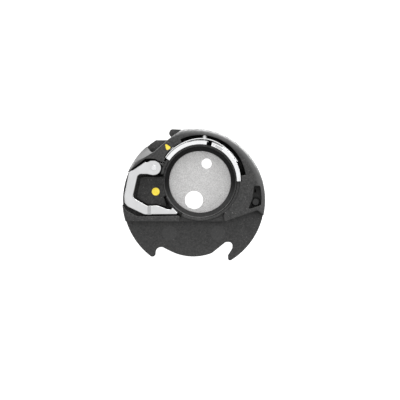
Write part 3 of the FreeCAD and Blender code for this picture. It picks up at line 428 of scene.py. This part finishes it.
def dress(node, material, bevel_width=0.0, segments=2):
    """Give a CAD node its material, and round its sharp edges a little."""
    piece = NODES[node]
    piece.data.materials.clear()
    piece.data.materials.append(material)
    weld = piece.modifiers.new("weld", "WELD")
    weld.merge_threshold = 0.0005 * MM
    if bevel_width:
        bevel = piece.modifiers.new("bevel", "BEVEL")
        bevel.width = bevel_width * MM
        bevel.segments = segments
        bevel.limit_method = "ANGLE"
        bevel.angle_limit = ROUNDED_ANGLE
    group = bpy.data.node_groups.get("smooth_by_angle") or smooth_by_angle()
    piece.modifiers.new("smooth", "NODES").node_group = group


def geometry_group(name):
    """A node group that changes geometry: its graph, what comes in and what goes out."""
    group = bpy.data.node_groups.new(name, "GeometryNodeTree")
    for way in ("INPUT", "OUTPUT"):
        group.interface.new_socket("Geometry", in_out=way, socket_type="NodeSocketGeometry")
    g = Graph(group)
    return g, g.add("NodeGroupInput").outputs[0], g.add("NodeGroupOutput").inputs[0]


def smooth_by_angle():
    """Shade smooth, but sharp where two faces meet at more than SHARP_ANGLE."""
    g, source, target = geometry_group("smooth_by_angle")
    angle = g.add("GeometryNodeInputMeshEdgeAngle").outputs["Unsigned Angle"]
    blunt = g.add("FunctionNodeCompare", {"operation": "LESS_THAN"}, i0=angle, i1=SHARP_ANGLE)
    faces = g.add("GeometryNodeSetShadeSmooth", None, Geometry=source)
    edges = g.add("GeometryNodeSetShadeSmooth", {"domain": "EDGE"}, Geometry=faces.outputs[0],
                  Shade_Smooth=blunt.outputs[0])
    g.feed(target, edges.outputs[0])
    return g.tree


def bend_spring():
    """Wind the lever spring up with the lever."""
    g, source, target = geometry_group("bend_spring")
    place = g.add("GeometryNodeInputPosition").outputs[0]
    lever = g.add("GeometryNodeObjectInfo", {"transform_space": "RELATIVE"}, Object=NODES["brake_lever"])
    moved = g.add("FunctionNodeTransformPoint", None, Vector=place, Transform=lever.outputs["Transform"])
    mixed = g.add("Mix", {"data_type": "VECTOR"}, i0=wound_share(g, place), i4=place, i5=moved.outputs[0])
    wound = g.add("GeometryNodeSetPosition", None, Geometry=source, Position=mixed.outputs[1])
    g.feed(target, wound.outputs[0])
    NODES["lever_spring"].modifiers.new("bend", "NODES").node_group = g.tree


def wound_share(g, place):
    """How far the wire follows the lever: 1 at the leg that the lever holds, 0 at the fixed leg."""
    x, _, z = g.split(g.in_mm(place))
    pin_low, pin_high = box_mm("lever_pivot_pin")
    leg_end = (pin_low.x + pin_high.x) / 2 - LEG_REACH
    coil_low = box_mm("lever_spring")[0].z
    by_height = g.spread(z, coil_low, coil_low + COIL_RISE, 1.0, 0.0, kind="LINEAR")
    by_side = g.spread(x, leg_end, leg_end + 0.1, 1.0, 0.0, kind="LINEAR")
    return g.maths("MAXIMUM", by_height, by_side)


def dress_all():
    """Materials and edge rounding for every CAD node."""
    bright = bright_plate()
    spring = spring_steel()
    turned = screw_steel()
    yellow = yellow_paint()
    dress("case_body", moulded_black(), 0.2, segments=3)
    dress("floor_plate", sintered_steel())
    dress("guard_plate", bright, 0.05)
    dress("screw_plate", bright, 0.05)
    dress("tension_leaf", spring, 0.03)
    dress("lever_spring", spring)
    dress("brake_lever", stamped_steel(), 0.04)
    for node in ("guard_pin", "tension_screw", "leaf_fixing_screw", "lever_washer"):
        dress(node, turned, 0.03)
    dress("lever_pivot_pin", turned, 0.08, segments=3)
    dress("pocket_plug", black_plug())
    dress("dot_mark", yellow)
    dress("arrow_mark", yellow)


def make_floor():
    """A plain pale floor, bright enough to read as white through the plate's holes."""
    half = 3000 * MM
    level = (BODY_LOW.z - 0.01) * MM
    corners = [(x, y, level) for x, y in ((-half, -half), (half, -half), (half, half), (-half, half))]
    mesh = bpy.data.meshes.new("floor")
    mesh.from_pydata(corners, [], [(0, 1, 2, 3)])
    mesh.materials.append(floor_paper())
    floor = bpy.data.objects.new("floor", mesh)
    bpy.context.scene.collection.objects.link(floor)


def floor_paper():
    """Matt white paper with a glow of its own."""
    g = Paint("floor_paper")
    return g.finish(
        Base_Color=grey(0.8),
        Roughness=0.9,
        Specular_IOR_Level=0.0,
        Emission_Color=grey(1.0),
        Emission_Strength=0.85,
    )


def add_light(name, place, aim, size, power):
    """A rectangular soft light."""
    light = bpy.data.lights.new(name, "AREA")
    light.shape = "RECTANGLE"
    light.size, light.size_y = (length * MM for length in size)
    light.energy = power
    lamp = bpy.data.objects.new(name, light)
    lamp.location = Vector(place) * MM
    way = Vector(aim) * MM - lamp.location
    lamp.rotation_euler = way.to_track_quat("-Z", "Y").to_euler()
    bpy.context.scene.collection.objects.link(lamp)


def make_light():
    """A white surround, brightest overhead, and a long low soft light behind on the right."""
    world = bpy.data.worlds.new("studio")
    world.use_nodes = True
    g = Graph(world.node_tree)
    _, _, up = g.split(g.add("TexCoord").outputs["Generated"])
    background = g.tree.nodes["Background"]
    g.feed(background.inputs["Color"], grey(1.0))
    g.feed(background.inputs["Strength"], g.spread(up, 0.2, 0.85, 0.25, 1.0))
    bpy.context.scene.world = world
    add_light("back_strip", place=(118, 254, 120), aim=(0, 0, 8), size=(460, 70), power=0.9)


def make_camera():
    """Straight down on the case, a little to the right of the hook axis."""
    frame_width = 120.8 * MM
    distance = 276 * MM
    offset = 1.9 * MM
    data = bpy.data.cameras.new("camera")
    data.sensor_width = 36.0
    data.lens = data.sensor_width * distance / frame_width
    data.clip_start = 10 * MM
    camera = bpy.data.objects.new("camera", data)
    camera.matrix_world = Matrix.Translation((offset, 0, DECK_TOP * MM + distance))
    bpy.context.scene.collection.objects.link(camera)
    bpy.context.scene.camera = camera
    bpy.context.scene.view_settings.view_transform = "Standard"


dress_all()
bend_spring()
make_floor()
make_light()
make_camera()
